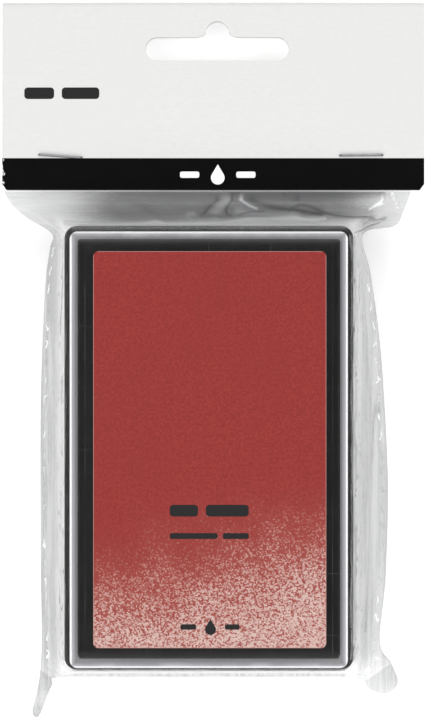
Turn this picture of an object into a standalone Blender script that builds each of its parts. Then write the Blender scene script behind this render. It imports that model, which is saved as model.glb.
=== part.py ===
"""An ink pad in its retail pouch: felt pad, black tray, clear lid, film pouch and folded header card.

Frame: +Z up with the pack lying on its back, +Y towards the header card.
The origin is the centre of the face that the pack rests on, under the middle of the ink pad.
All lengths below are in millimetres; MM turns them into metres where a mesh is made.
"""

import math

import bmesh
import bpy
from mathutils import Vector

MM = 0.001

# Clearances
GAP = 0.3              # between neighbouring pieces that only rest on each other
GLUE = 0.05            # an adhesive layer, or a sheet lying flat on a face
FILM = 0.3             # pouch film, thicker than the real film so that it is a sound solid
FILM_ROOM = 0.4        # between the case's outline and the film laid round it
CARD_SPANS = 12        # spans of the weld line where it runs along the card
MERGE = 0.01           # points closer than this are one point
CUT_REACH = 3.0        # of a punch through the card, to each side of the mid plane

# Ink pad case
CASE_W, CASE_L, CASE_H = 60.5, 93.0, 20.0   # the base flange's outline and the height of the closed case
CASE_R = 2.7           # corner radius of the base flange
FOOT_EDGE, LIP_EDGE = 0.4, 0.25      # chamfers along the flange's lower and upper edge
FLANGE_H = 6.0
LEDGE = 1.7            # ledge of the base flange around the lid
LID_WALL, LID_TOP, LID_R = 1.3, 1.5, 1.6
LID_DRAFT = 0.2        # how much wider the skirt is at its foot, on each side
LID_EDGE = 0.45        # rounding of the lid's upper edge
DECK_H = 14.5          # height of the tray's deck above its foot
DECK_R, DECK_EDGE = 0.6, 0.3         # corner radius and edge chamfer of the deck
WELL_W, WELL_L, WELL_R, WELL_DEPTH = 49.4, 81.4, 2.0, 6.2
FLOOR = 1.6            # thickness of the well's floor
RIB = 1.2              # between the pockets, and RIM from them to the deck's wall
RIM = 0.5
CELL_R = 1.0
CELLS_X, CELLS_Y = 4, 6   # moulding pockets under the tray

# Ink pad
PAD_W, PAD_L, PAD_R = 46.0, 79.6, 1.6   # the raised, inked face
CLOTH = 0.35           # thickness of the pad's cloth cover
PAD_RISE = 2.9         # height of the inked face above the deck
CROWN = 0.4            # rounding of the pad's upper edge
FOAM_R, FOAM_TOP_R = 1.2, 1.0        # corner radius of the foam's sides and of its top
CLOTH_TOP_R = 0.9      # and of the cloth's inside where it meets the foam's top
BRIM_W, BRIM_L, BRIM_R = 52.4, 85.0, 1.0
FRAME_T = 1.3          # thickness of the retaining frame
FRAME_ROOM = 0.4       # between the frame's mouth and the pad
FRAME_EDGE = 0.25      # chamfer of the frame's outer edge
MOUTH_EDGE = 0.4       # chamfer of the frame's mouth
TAPE_T = 0.2
TAPE_INSET_X, TAPE_INSET_Y, TAPE_R = 1.5, 2.0, 1.0
LABEL_W, LABEL_L, LABEL_R, LABEL_T = 47.8, 81.4, 1.0, 0.15
LABEL_X = 0.2          # the label is stuck on a little off centre

# Header card
CARD_W, CARD_T = 87.8, 0.35
CARD_X = 0.9           # the card sits a little to the right of the case
CARD_Y0, CARD_Y1 = 53.8, 92.8
CARD_CORNER = 1.6      # clipped lower corners
SLOT_X, SLOT_Y = 1.75, 83.1          # centre of the hanging slot's long part
SLOT_W, SLOT_H = 29.8, 4.8
NOTCH_W, NOTCH_R, NOTCH_RISE = 6.4, 2.2, 3.1
MOUTH_X, MOUTH_W, MOUTH_TOP = -0.3, 84.4, 68.0     # the pouch's mouth inside the card

# Staples
WIRE = 0.5
STAPLE_CROWN, STAPLE_CLINCH = 8.8, 3.2
STAPLE_BEND = 0.4      # size of its bends
STAPLE_LIFT = 0.1      # between the wire and the card's face
STAPLES = {            # name: (centre x, centre y, turn in degrees)
    "staple_left": (-30.9, 60.8, -4.3),
    "staple_right": (31.7, 61.0, 0.6),
}
HOLE_R = 0.5           # punched hole round each staple leg

# Outer edge of the welded films, seen from above, anticlockwise from the card's left edge to its right edge.
POUCH_EDGE = [
    (-42.6, 53.3), (-40.7, 50.4), (-37.6, 47.8), (-33.9, 45.7), (-32.4, 44.0), (-33.1, 41.6), (-34.2, 32.0),
    (-35.0, 9.0), (-35.0, -22.6), (-34.8, -40.9), (-35.5, -49.0), (-36.9, -54.8), (-36.2, -56.4),
    (-35.2, -55.4), (-32.7, -49.4), (-30.9, -47.7), (-12.0, -47.6), (12.0, -47.6), (30.2, -47.8),
    (33.3, -50.0), (36.6, -51.2), (39.4, -49.0), (38.0, -44.7), (35.6, -40.2), (36.8, -26.7), (37.3, -8.0),
    (36.6, 8.6), (35.6, 22.1), (33.7, 36.3), (32.0, 43.2), (33.3, 45.4), (38.8, 46.4), (40.7, 49.9),
    (42.0, 53.3),
]
# Line where the films part from each other round the case, in the same order.
WELD_LINE = [
    (-40.4, 51.7), (-37.9, 49.2), (-33.6, 46.4), (-31.7, 43.6), (-32.3, 36.0), (-33.0, 22.0),
    (-33.4, 0.0), (-33.3, -22.0), (-32.8, -38.0), (-32.0, -44.8), (-29.6, -47.1), (-25.0, -47.1),
    (-14.0, -47.1), (14.0, -47.1), (25.0, -47.1), (29.6, -47.1), (32.0, -44.8), (33.4, -38.0),
    (34.6, -24.0), (35.0, -6.0), (34.4, 10.0), (32.6, 34.0), (31.4, 43.2), (32.8, 46.2), (37.6, 48.0),
    (39.9, 51.7),
]

# Heights that follow from the ones above
TRAY_Z = FILM + 0.4
LEDGE_Z = TRAY_Z + FLANGE_H
DECK_Z = TRAY_Z + DECK_H
CASE_TOP = TRAY_Z + CASE_H
WELL_Z = DECK_Z - WELL_DEPTH
PAD_TOP = DECK_Z + PAD_RISE
FRAME_Z = DECK_Z + GLUE + CLOTH + GLUE
SEAM_Z = 9.8           # mid plane of the welded edges and of the header card
FILM_OFFSET = 0.1 + FILM / 2        # of each film's middle from the mid plane
LEAF_INNER = 0.6                    # of each card leaf's inner face from the mid plane
LEAF_OUTER = LEAF_INNER + CARD_T
LID_W, LID_L = CASE_W - 2 * LEDGE, CASE_L - 2 * LEDGE
DECK_W, DECK_L = LID_W - 2 * (LID_WALL + GAP), LID_L - 2 * (LID_WALL + GAP)

# Colours are linear RGB.
FINISHES = {
    "black_plastic": ((0.012, 0.011, 0.011), 0.35, 0.0),
    "clear_plastic": ((0.85, 0.87, 0.88), 0.08, 0.0),
    "clear_film": ((0.78, 0.79, 0.80), 0.12, 0.0),
    "inked_cloth": ((0.33, 0.022, 0.026), 0.75, 0.0),
    "inked_foam": ((0.24, 0.018, 0.022), 0.9, 0.0),
    "tape": ((0.80, 0.78, 0.70), 0.6, 0.0),
    "red_label": ((0.37, 0.055, 0.052), 0.5, 0.0),
    "white_card": ((0.82, 0.82, 0.80), 0.7, 0.0),
    "staple_wire": ((0.55, 0.55, 0.56), 0.3, 1.0),
}


def clear_scene():
    for obj in list(bpy.data.objects):
        bpy.data.objects.remove(obj)


def material(name):
    """The named finish as a Principled material, made once."""
    made = bpy.data.materials.get(name)
    if made is None:
        colour, roughness, metallic = FINISHES[name]
        made = bpy.data.materials.new(name)
        made.use_nodes = True
        shader = made.node_tree.nodes["Principled BSDF"]
        shader.inputs["Base Color"].default_value = (*colour, 1.0)
        shader.inputs["Roughness"].default_value = roughness
        shader.inputs["Metallic"].default_value = metallic
    return made


def add_object(name, mesh, finish=None):
    obj = bpy.data.objects.new(name, mesh)
    bpy.context.scene.collection.objects.link(obj)
    if finish:
        mesh.materials.append(material(finish))
    return obj


def rounded_rectangle(width, length, radius, steps=6):
    """Corner points of a rounded rectangle about the origin, anticlockwise."""
    points = []
    for quarter, (sx, sy) in enumerate([(1, 1), (-1, 1), (-1, -1), (1, -1)]):
        cx, cy = sx * (width / 2 - radius), sy * (length / 2 - radius)
        for step in range(steps + 1):
            angle = math.radians(90 * (quarter + step / steps))
            points.append((cx + radius * math.cos(angle), cy + radius * math.sin(angle)))
    return points


def inset_rectangle(width, length, radius, inset):
    """The rounded rectangle moved in by an inset all round."""
    return rounded_rectangle(width - 2 * inset, length - 2 * inset, radius - inset)


def loft(name, rings, finish, closed=False):
    """A solid through rings of (outline, z), capped at both ends unless the rings close on themselves."""
    build = bmesh.new()
    loops = [[build.verts.new((x * MM, y * MM, z * MM)) for x, y in outline] for outline, z in rings]
    pairs = list(zip(loops, loops[1:]))
    if closed:
        pairs.append((loops[-1], loops[0]))
    else:
        build.faces.new(loops[0])
        build.faces.new(loops[-1])
    count = len(loops[0])
    for lower, upper in pairs:
        for i in range(count):
            j = (i + 1) % count
            build.faces.new((lower[i], lower[j], upper[j], upper[i]))
    bmesh.ops.recalc_face_normals(build, faces=build.faces)
    mesh = bpy.data.meshes.new(name)
    build.to_mesh(mesh)
    build.free()
    return add_object(name, mesh, finish)


def shade(obj, angle=35):
    obj.data.shade_smooth()
    obj.data.set_sharp_from_angle(angle=math.radians(angle))


def cut(obj, cutters, name="cuts"):
    """Takes the cutters, a list of closed boxes or prisms as (outline, z0, z1), out of obj."""
    build = bmesh.new()
    for outline, z0, z1 in cutters:
        lower = [build.verts.new((x * MM, y * MM, z0 * MM)) for x, y in outline]
        upper = [build.verts.new((x * MM, y * MM, z1 * MM)) for x, y in outline]
        build.faces.new(list(reversed(lower)))
        build.faces.new(upper)
        count = len(lower)
        for i in range(count):
            j = (i + 1) % count
            build.faces.new((lower[i], lower[j], upper[j], upper[i]))
    bmesh.ops.recalc_face_normals(build, faces=build.faces)
    mesh = bpy.data.meshes.new(f"{obj.name}_{name}")
    build.to_mesh(mesh)
    build.free()
    cutter = add_object(mesh.name, mesh)
    cutter.hide_render = True
    cutter.display_type = "WIRE"
    modifier = obj.modifiers.new(name, "BOOLEAN")
    modifier.operation = "DIFFERENCE"
    modifier.object = cutter


def moved(points, dx, dy, turn=0.0):
    """The points turned by an angle in degrees about the origin, then shifted."""
    c, s = math.cos(math.radians(turn)), math.sin(math.radians(turn))
    return [(x * c - y * s + dx, x * s + y * c + dy) for x, y in points]


def circle(radius, steps=10):
    turns = [2 * math.pi * k / steps for k in range(steps)]
    return [(radius * math.cos(a), radius * math.sin(a)) for a in turns]


# ---------------------------------------------------------------- ink pad case


def base_tray():
    """Black moulding: flange, raised deck with the pad's well, and pockets under the floor."""
    flange = rounded_rectangle(CASE_W, CASE_L, CASE_R)
    foot = inset_rectangle(CASE_W, CASE_L, CASE_R, FOOT_EDGE)
    lip = inset_rectangle(CASE_W, CASE_L, CASE_R, LIP_EDGE)
    deck = rounded_rectangle(DECK_W, DECK_L, DECK_R)
    deck_edge = inset_rectangle(DECK_W, DECK_L, DECK_R, DECK_EDGE)
    well = rounded_rectangle(WELL_W, WELL_L, WELL_R)
    tray = loft("base_tray", [
        (foot, TRAY_Z), (flange, TRAY_Z + FOOT_EDGE), (flange, LEDGE_Z - LIP_EDGE), (lip, LEDGE_Z),
        (deck, LEDGE_Z), (deck, DECK_Z - DECK_EDGE), (deck_edge, DECK_Z), (well, DECK_Z), (well, WELL_Z),
    ], "black_plastic")
    cell_w = (DECK_W - 2 * RIM - (CELLS_X + 1) * RIB) / CELLS_X
    cell_l = (DECK_L - 2 * RIM - (CELLS_Y + 1) * RIB) / CELLS_Y
    cell = rounded_rectangle(cell_w, cell_l, CELL_R, steps=2)
    pockets = []
    for i in range(CELLS_X):
        for j in range(CELLS_Y):
            x = (i - (CELLS_X - 1) / 2) * (cell_w + RIB)
            y = (j - (CELLS_Y - 1) / 2) * (cell_l + RIB)
            pockets.append((moved(cell, x, y), TRAY_Z - 1.0, WELL_Z - FLOOR))
    cut(tray, pockets, "pockets")
    shade(tray)
    return tray


def foam_tape():
    """Double-sided tape that holds the foam down in the well."""
    outline = rounded_rectangle(PAD_W - 2 * TAPE_INSET_X, PAD_L - 2 * TAPE_INSET_Y, TAPE_R, steps=2)
    return loft("foam_tape", [(outline, WELL_Z + GLUE), (outline, WELL_Z + GLUE + TAPE_T)], "tape")


def foam_pad():
    """The ink reservoir: a foam block that fills the well and carries the cloth."""
    low, top = WELL_Z + 2 * GLUE + TAPE_T, PAD_TOP - CLOTH - GLUE
    width, length = PAD_W - 2 * (CLOTH + GLUE), PAD_L - 2 * (CLOTH + GLUE)
    side = rounded_rectangle(width, length, FOAM_R)
    crown = rounded_rectangle(width - 2 * CROWN, length - 2 * CROWN, FOAM_TOP_R)
    foam = loft("foam_pad", [(side, low), (side, top - CROWN), (crown, top)], "inked_foam")
    shade(foam, 50)
    return foam


def pad_cover():
    """Woven cloth drawn over the foam, with a brim held down by the retaining frame."""
    brim_low, brim_top = DECK_Z + GLUE, DECK_Z + GLUE + CLOTH
    outer = rounded_rectangle(PAD_W, PAD_L, PAD_R)
    crown = inset_rectangle(PAD_W, PAD_L, PAD_R, CROWN)
    brim = rounded_rectangle(BRIM_W, BRIM_L, BRIM_R)
    inner = inset_rectangle(PAD_W, PAD_L, PAD_R, CLOTH)
    inner_crown = rounded_rectangle(PAD_W - 2 * (CLOTH + CROWN), PAD_L - 2 * (CLOTH + CROWN), CLOTH_TOP_R)
    cover = loft("pad_cover", [
        (crown, PAD_TOP), (outer, PAD_TOP - CROWN), (outer, brim_top), (brim, brim_top),
        (brim, brim_low), (inner, brim_low), (inner, PAD_TOP - CROWN - CLOTH), (inner_crown, PAD_TOP - CLOTH),
    ], "inked_cloth")
    shade(cover, 50)
    return cover


def pad_frame():
    """Black bezel round the pad, welded to the deck over the cloth's brim."""
    top = FRAME_Z + FRAME_T
    outer = rounded_rectangle(DECK_W, DECK_L, DECK_R)
    outer_edge = inset_rectangle(DECK_W, DECK_L, DECK_R, FRAME_EDGE)
    mouth = inset_rectangle(PAD_W, PAD_L, PAD_R, -FRAME_ROOM)
    mouth_edge = inset_rectangle(PAD_W, PAD_L, PAD_R, -FRAME_ROOM - MOUTH_EDGE)
    frame = loft("pad_frame", [
        (outer, FRAME_Z), (outer, top - FRAME_EDGE), (outer_edge, top), (mouth_edge, top),
        (mouth, top - MOUTH_EDGE), (mouth, FRAME_Z),
    ], "black_plastic", closed=True)
    shade(frame)
    return frame


def lid():
    """Clear cover that drops over the deck and stands on the flange's ledge."""
    foot_w, foot_l = LID_W + 2 * LID_DRAFT, LID_L + 2 * LID_DRAFT
    low, under = LEDGE_Z + 0.2, CASE_TOP - LID_TOP
    rings = []
    for step in range(4):
        angle = math.radians(30 * step)
        inset = LID_EDGE * (1 - math.sin(angle))
        outline = inset_rectangle(LID_W, LID_L, LID_R, inset)
        rings.append((outline, CASE_TOP - LID_EDGE * (1 - math.cos(angle))))
    rings += [
        (rounded_rectangle(foot_w, foot_l, LID_R + LID_DRAFT), low),
        (rounded_rectangle(foot_w - 2 * LID_WALL, foot_l - 2 * LID_WALL, 0.7), low),
        (rounded_rectangle(LID_W - 2 * LID_WALL, LID_L - 2 * LID_WALL, 0.5), under),
    ]
    cover = loft("lid", rings, "clear_plastic")
    shade(cover)
    return cover


def lid_label():
    """Printed paper label on the lid."""
    outline = moved(rounded_rectangle(LABEL_W, LABEL_L, LABEL_R), LABEL_X, 0.0)
    low = CASE_TOP + GLUE
    return loft("lid_label", [(outline, low), (outline, low + LABEL_T)], "red_label")


# ---------------------------------------------------------------- header card and staples


def slot_outline():
    """Hanging slot: a long round-ended hole with a rounded notch above its middle."""
    r, half, low, high = SLOT_H / 2, SLOT_W / 2, -SLOT_H / 2, SLOT_H / 2
    points = []
    for step in range(9):
        a = math.radians(-90 + 180 * step / 8)
        points.append((half - r + r * math.cos(a), r * math.sin(a)))
    top = high + NOTCH_RISE
    points.append((NOTCH_W / 2, high))
    for step in range(9):
        a = math.radians(180 * step / 8)
        points.append((NOTCH_R * math.cos(a), top - NOTCH_R + NOTCH_R * math.sin(a)))
    points.append((-NOTCH_W / 2, high))
    for step in range(9):
        a = math.radians(90 + 180 * step / 8)
        points.append((-(half - r) + r * math.cos(a), r * math.sin(a)))
    return moved(points, SLOT_X, SLOT_Y)


def leg_places():
    """Plan positions of all four staple legs."""
    places = []
    for x, y, turn in STAPLES.values():
        places += moved([(-STAPLE_CROWN / 2, 0), (STAPLE_CROWN / 2, 0)], x, y, turn)
    return places


def leg_holes():
    low, top = SEAM_Z - CUT_REACH, SEAM_Z + CUT_REACH
    return [(moved(circle(HOLE_R), x, y), low, top) for x, y in leg_places()]


def header_card():
    """One card folded over the pouch's mouth: front leaf, fold at the top, back leaf."""
    fold_y = CARD_Y1 - LEAF_OUTER
    outer, inner = [], []
    for step in range(9):
        a = math.radians(90 - 180 * step / 8)
        outer.append((fold_y + LEAF_OUTER * math.cos(a), LEAF_OUTER * math.sin(a)))
        inner.append((fold_y + LEAF_INNER * math.cos(a), LEAF_INNER * math.sin(a)))
    section = [(CARD_Y0, LEAF_OUTER), *outer, (CARD_Y0, -LEAF_OUTER)]
    section += [(CARD_Y0, -LEAF_INNER), *reversed(inner), (CARD_Y0, LEAF_INNER)]
    build = bmesh.new()
    ends = []
    for side in (-1, 1):
        x = CARD_X + side * CARD_W / 2
        ends.append([build.verts.new((x * MM, y * MM, (SEAM_Z + z) * MM)) for y, z in section])
        build.faces.new(ends[-1])
    count = len(section)
    for i in range(count):
        j = (i + 1) % count
        build.faces.new((ends[0][i], ends[0][j], ends[1][j], ends[1][i]))
    bmesh.ops.recalc_face_normals(build, faces=build.faces)
    mesh = bpy.data.meshes.new("header_card")
    build.to_mesh(mesh)
    build.free()
    card = add_object("header_card", mesh, "white_card")
    low, top = SEAM_Z - CUT_REACH, SEAM_Z + CUT_REACH
    cuts = [(slot_outline(), low, top), *leg_holes()]
    for side in (-1, 1):
        x, reach = CARD_X + side * CARD_W / 2, CARD_CORNER
        corner = [(x - side * reach, CARD_Y0 - 1), (x + side, CARD_Y0 - 1), (x + side, CARD_Y0 + reach + 1)]
        cuts.append((corner, low, top))
    cut(card, cuts, "punched")
    shade(card)
    return card


def staple(name, x, y, turn):
    """Wire staple: crown on the front leaf, legs through card and film, clinched behind."""
    half, reach = STAPLE_CROWN / 2, LEAF_OUTER + STAPLE_LIFT + WIRE / 2
    corners = [(-half + STAPLE_CLINCH, -reach), (-half, -reach), (-half, reach), (half, reach)]
    corners += [(half, -reach), (half - STAPLE_CLINCH, -reach)]
    path = [corners[0]]
    for before, at, after in zip(corners, corners[1:], corners[2:]):
        at = Vector(at)
        into, out = (at - Vector(before)).normalized(), (Vector(after) - at).normalized()
        for share in (0.0, 0.25, 0.5, 0.75, 1.0):
            a, b = at - into * STAPLE_BEND * (1 - share), at + out * STAPLE_BEND * share
            path.append(tuple(a.lerp(b, share)))
    path.append(corners[-1])
    curve = bpy.data.curves.new(name, "CURVE")
    curve.dimensions = "3D"
    curve.bevel_depth = WIRE / 2 * MM
    curve.bevel_resolution = 2
    curve.use_fill_caps = True
    spline = curve.splines.new("POLY")
    spline.points.add(len(path) - 1)
    for point, (px, pz) in zip(spline.points, path):
        point.co = (px * MM, 0.0, pz * MM, 1.0)
    curve.materials.append(material("staple_wire"))
    wire = bpy.data.objects.new(name, curve)
    wire.location = (x * MM, y * MM, SEAM_Z * MM)
    wire.rotation_euler = (0.0, 0.0, math.radians(turn))
    bpy.context.scene.collection.objects.link(wire)
    return wire


# ---------------------------------------------------------------- film pouch


def smooth_curve(points, per_span=3):
    """An open Catmull-Rom curve through the points."""
    knots = [Vector(p) for p in (points[0], *points, points[-1])]
    curve = []
    for p0, p1, p2, p3 in zip(knots, knots[1:], knots[2:], knots[3:]):
        for k in range(per_span):
            t = k / per_span
            point = p1 * 2 + (p2 - p0) * t + (p0 * 2 - p1 * 5 + p2 * 4 - p3) * t * t
            point += (p1 * 3 - p0 - p2 * 3 + p3) * t ** 3
            curve.append(point / 2)
    return curve + [knots[-1]]


def onto_rectangle(point, half_w, half_l, radius):
    """The nearest point of a rounded rectangle about the origin."""
    core = Vector((
        max(-half_w + radius, min(half_w - radius, point[0])),
        max(-half_l + radius, min(half_l - radius, point[1])),
    ))
    return core + (point - core).normalized() * radius


def weld_loop():
    """The closed weld line: the curve round the case, then straight back along the card."""
    curve = smooth_curve(WELD_LINE)
    back = [curve[-1].lerp(curve[0], k / CARD_SPANS) for k in range(1, CARD_SPANS)]
    return curve + back


def film_panel(name, half_w, half_l, radius, face_z, edge_z, mouth=()):
    """One film: flat over the case, sloping to the weld line, then flat to its outer edge.

    The mouth is the outline of the stretch that runs on between the card's leaves, from right to left.
    """
    build = bmesh.new()

    def ring(points, z):
        return [build.verts.new((p[0] * MM, p[1] * MM, z * MM)) for p in points]

    weld = weld_loop()
    face = ring([onto_rectangle(p, half_w, half_l, radius) for p in weld], face_z)
    fold = ring(weld, edge_z)
    edge = ring(smooth_curve(POUCH_EDGE) + list(mouth), edge_z)
    build.faces.new(face)
    count = len(weld)
    for i in range(count):
        j = (i + 1) % count
        build.faces.new((face[i], face[j], fold[j], fold[i]))
    rim = [build.edges.get((fold[i], fold[(i + 1) % count])) for i in range(count)]
    rim += [build.edges.new((edge[i], edge[(i + 1) % len(edge)])) for i in range(len(edge))]
    bmesh.ops.triangle_fill(build, edges=rim, use_beauty=True)
    bmesh.ops.remove_doubles(build, verts=build.verts, dist=MERGE * MM)
    bmesh.ops.recalc_face_normals(build, faces=build.faces)
    mesh = bpy.data.meshes.new(name)
    build.to_mesh(mesh)
    build.free()
    panel = add_object(name, mesh, "clear_film")
    solidify = panel.modifiers.new("thickness", "SOLIDIFY")
    solidify.thickness = FILM * MM
    solidify.offset = 0.0
    solidify.use_even_offset = True
    return panel


def bag_front_film():
    half_w, half_l = LID_W / 2 + FILM_ROOM, LID_L / 2 + FILM_ROOM
    face_z = CASE_TOP + GLUE + LABEL_T + GAP + FILM / 2
    return film_panel("bag_front_film", half_w, half_l, LID_R + FILM_ROOM, face_z, SEAM_Z + FILM_OFFSET)


def bag_back_film():
    """Back film in one piece with its stretch between the card's leaves."""
    half_w, half_l = CASE_W / 2 + FILM_ROOM, CASE_L / 2 + FILM_ROOM
    x0, x1 = MOUTH_X - MOUTH_W / 2, MOUTH_X + MOUTH_W / 2
    mouth = [(x1, MOUTH_TOP), (x0, MOUTH_TOP)]
    film = film_panel(
        "bag_back_film", half_w, half_l, CASE_R + FILM_ROOM, FILM / 2, SEAM_Z - FILM_OFFSET, mouth)
    cut(film, leg_holes(), "punched")
    return film


def bag_mouth_front():
    """The stretch of the front film that stays between the card's leaves."""
    x0, x1 = MOUTH_X - MOUTH_W / 2, MOUTH_X + MOUTH_W / 2
    low_y, middle = CARD_Y0 - 0.1, SEAM_Z + FILM_OFFSET
    strip = [(x0, low_y), (x1, low_y), (x1, MOUTH_TOP), (x0, MOUTH_TOP)]
    mouth = loft("bag_mouth_front", [(strip, middle - FILM / 2), (strip, middle + FILM / 2)], "clear_film")
    cut(mouth, leg_holes(), "punched")
    return mouth


def main():
    clear_scene()
    base_tray()
    foam_tape()
    foam_pad()
    pad_cover()
    pad_frame()
    lid()
    lid_label()
    header_card()
    for name, place in STAPLES.items():
        staple(name, *place)
    bag_mouth_front()
    bag_front_film()
    bag_back_film()


main()
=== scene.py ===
"""Looks of the ink pad in its retail pouch: card, film, clear lid, printed label and inked pad.

The frame gives every CAD piece in metres. Lengths here are in millimetres, and MM turns them into metres.
+Z is up with the pack on its back, and +Y points to the header card.
"""

import math

import bmesh
import bpy
import numpy as np
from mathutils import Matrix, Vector, noise


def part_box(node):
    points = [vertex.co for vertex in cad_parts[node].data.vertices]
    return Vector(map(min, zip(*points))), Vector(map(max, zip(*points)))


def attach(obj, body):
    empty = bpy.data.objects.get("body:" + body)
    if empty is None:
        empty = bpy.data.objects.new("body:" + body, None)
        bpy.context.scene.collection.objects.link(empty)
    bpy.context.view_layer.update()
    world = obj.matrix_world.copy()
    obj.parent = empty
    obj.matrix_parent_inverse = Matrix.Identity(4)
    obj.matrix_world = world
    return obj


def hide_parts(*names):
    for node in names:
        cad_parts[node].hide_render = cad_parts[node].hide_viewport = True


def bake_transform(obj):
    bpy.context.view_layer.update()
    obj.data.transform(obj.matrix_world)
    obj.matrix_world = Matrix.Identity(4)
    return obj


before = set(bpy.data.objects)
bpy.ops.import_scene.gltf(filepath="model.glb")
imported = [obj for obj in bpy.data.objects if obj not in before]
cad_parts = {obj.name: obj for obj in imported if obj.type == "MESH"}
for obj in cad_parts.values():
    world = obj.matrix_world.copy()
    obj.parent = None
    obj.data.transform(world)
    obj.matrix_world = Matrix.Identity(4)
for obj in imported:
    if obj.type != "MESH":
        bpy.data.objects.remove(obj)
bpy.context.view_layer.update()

MM = 0.001


def corner_mm(vector):
    return Vector(vector) / MM


LID_LO, LID_HI = map(corner_mm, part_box("lid"))
TRAY_HI = corner_mm(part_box("base_tray")[1])
LABEL_LO, LABEL_HI = map(corner_mm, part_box("lid_label"))
LABEL_X, LABEL_Y = (LABEL_LO.x + LABEL_HI.x) / 2, (LABEL_LO.y + LABEL_HI.y) / 2
CARD_LO, CARD_HI = map(corner_mm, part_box("header_card"))
COVER_LO, COVER_HI = map(corner_mm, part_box("pad_cover"))

SEAM_Z = (CARD_LO.z + CARD_HI.z) / 2
CARD_T = 0.35
CARD_X = (CARD_LO.x + CARD_HI.x) / 2
LID_W, LID_L = 57.1, 89.6      # the lid's top, which its skirt is slightly wider than
LID_WALL = 1.3
LID_EDGE = 0.42                # width of the painted highlight along the lid's rounded edge
PAD_W, PAD_L = 46.0, 79.6      # the raised, inked face

# Camera and floor
CAMERA_AIM = Vector((1.38, 18.4, LID_HI.z))
CAMERA_HEIGHT = 700.0
FRAME_HEIGHT = 147.7           # height of what the camera sees at the lid's top
SENSOR = 36.0
FLOOR_REACH = 1500.0           # from its middle to each edge
FLOOR_DROP = 0.02              # below the face that the pack rests on

# Outer edge of the welded films and the line where they part, anticlockwise from the card's left edge.
POUCH_EDGE = [
    (-42.6, 53.3), (-40.7, 50.4), (-37.6, 47.8), (-33.9, 45.7), (-32.4, 44.0), (-33.1, 41.6), (-34.2, 32.0),
    (-35.0, 9.0), (-35.0, -22.6), (-34.8, -40.9), (-35.5, -49.0), (-36.9, -54.8), (-36.2, -56.4),
    (-35.2, -55.4), (-32.7, -49.4), (-30.9, -47.7), (-12.0, -47.6), (12.0, -47.6), (30.2, -47.8),
    (33.3, -50.0), (36.6, -51.2), (39.4, -49.0), (38.0, -44.7), (35.6, -40.2), (36.8, -26.7), (37.3, -8.0),
    (36.6, 8.6), (35.6, 22.1), (33.7, 36.3), (32.0, 43.2), (33.3, 45.4), (38.8, 46.4), (40.7, 49.9),
    (42.0, 53.3),
]
WELD_LINE = [
    (-40.4, 51.7), (-37.9, 49.2), (-33.6, 46.4), (-31.7, 43.6), (-32.3, 36.0), (-33.0, 22.0),
    (-33.4, 0.0), (-33.3, -22.0), (-32.8, -38.0), (-32.0, -44.8), (-29.6, -47.1), (-25.0, -47.1),
    (-14.0, -47.1), (14.0, -47.1), (25.0, -47.1), (29.6, -47.1), (32.0, -44.8), (33.4, -38.0),
    (34.6, -24.0), (35.0, -6.0), (34.4, 10.0), (32.6, 34.0), (31.4, 43.2), (32.8, 46.2), (37.6, 48.0),
    (39.9, 51.7),
]
ROUND_POINTS, CARD_POINTS = 660, 240     # points of each film ring round the case and along the card
FILM_POINTS = ROUND_POINTS + CARD_POINTS
FILM_ROOM = 0.4                          # between the case and the film round it
FILM_PLY = 0.05                          # of each film from the weld's middle
LID_BEND, TRAY_BEND = 2.2, 3.3           # corner radius of the film round the lid and round the tray
OVER_LABEL = 0.3                         # of the film's flat face above the label
OFF_FLOOR = 0.15                         # of its underside above the floor


# ---------------------------------------------------------------- meshes


def add_mesh(name, points, faces, smooth=True, angle=40):
    mesh = bpy.data.meshes.new(name)
    mesh.from_pydata([tuple(float(c) * MM for c in p) for p in points], [], faces)
    mesh.validate()
    build = bmesh.new()
    build.from_mesh(mesh)
    bmesh.ops.recalc_face_normals(build, faces=build.faces)
    build.to_mesh(mesh)
    build.free()
    obj = bpy.data.objects.new(name, mesh)
    bpy.context.scene.collection.objects.link(obj)
    if smooth:
        mesh.shade_smooth()
        mesh.set_sharp_from_angle(angle=math.radians(angle))
    return obj


def rounded_rectangle(width, length, radius, steps=8):
    points = []
    for quarter, (sx, sy) in enumerate([(1, 1), (-1, 1), (-1, -1), (1, -1)]):
        cx, cy = sx * (width / 2 - radius), sy * (length / 2 - radius)
        for step in range(steps + 1):
            a = math.radians(90 * (quarter + step / steps))
            points.append((cx + radius * math.cos(a), cy + radius * math.sin(a)))
    return points


def rings_to_faces(rings, count):
    faces = []
    for k in range(rings - 1):
        for i in range(count):
            j = (i + 1) % count
            faces.append((k * count + i, k * count + j, (k + 1) * count + j, (k + 1) * count + i))
    return faces


def loft(name, rings, angle=40):
    """A closed solid through rings of (outline, z)."""
    points = [(x, y, z) for outline, z in rings for x, y in outline]
    count = len(rings[0][0])
    faces = rings_to_faces(len(rings), count)
    faces.append(tuple(range(count)))
    faces.append(tuple(range(len(points) - count, len(points))))
    return add_mesh(name, points, faces, angle=angle)


def apply_modifiers(obj):
    """Replaces the object's mesh by its evaluated one and drops its modifiers."""
    graph = bpy.context.evaluated_depsgraph_get()
    mesh = bpy.data.meshes.new_from_object(obj.evaluated_get(graph))
    obj.modifiers.clear()
    obj.data = mesh


def wave(x, y, scale, seed):
    """Smooth noise from about -1 to 1; scale is the size of its features."""
    return noise.noise(Vector((x / scale, y / scale, seed)))


# ---------------------------------------------------------------- materials


FILM_LAYERS = ("haze", "tone", "fringe")     # what the film's mesh tells its material at each point


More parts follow.
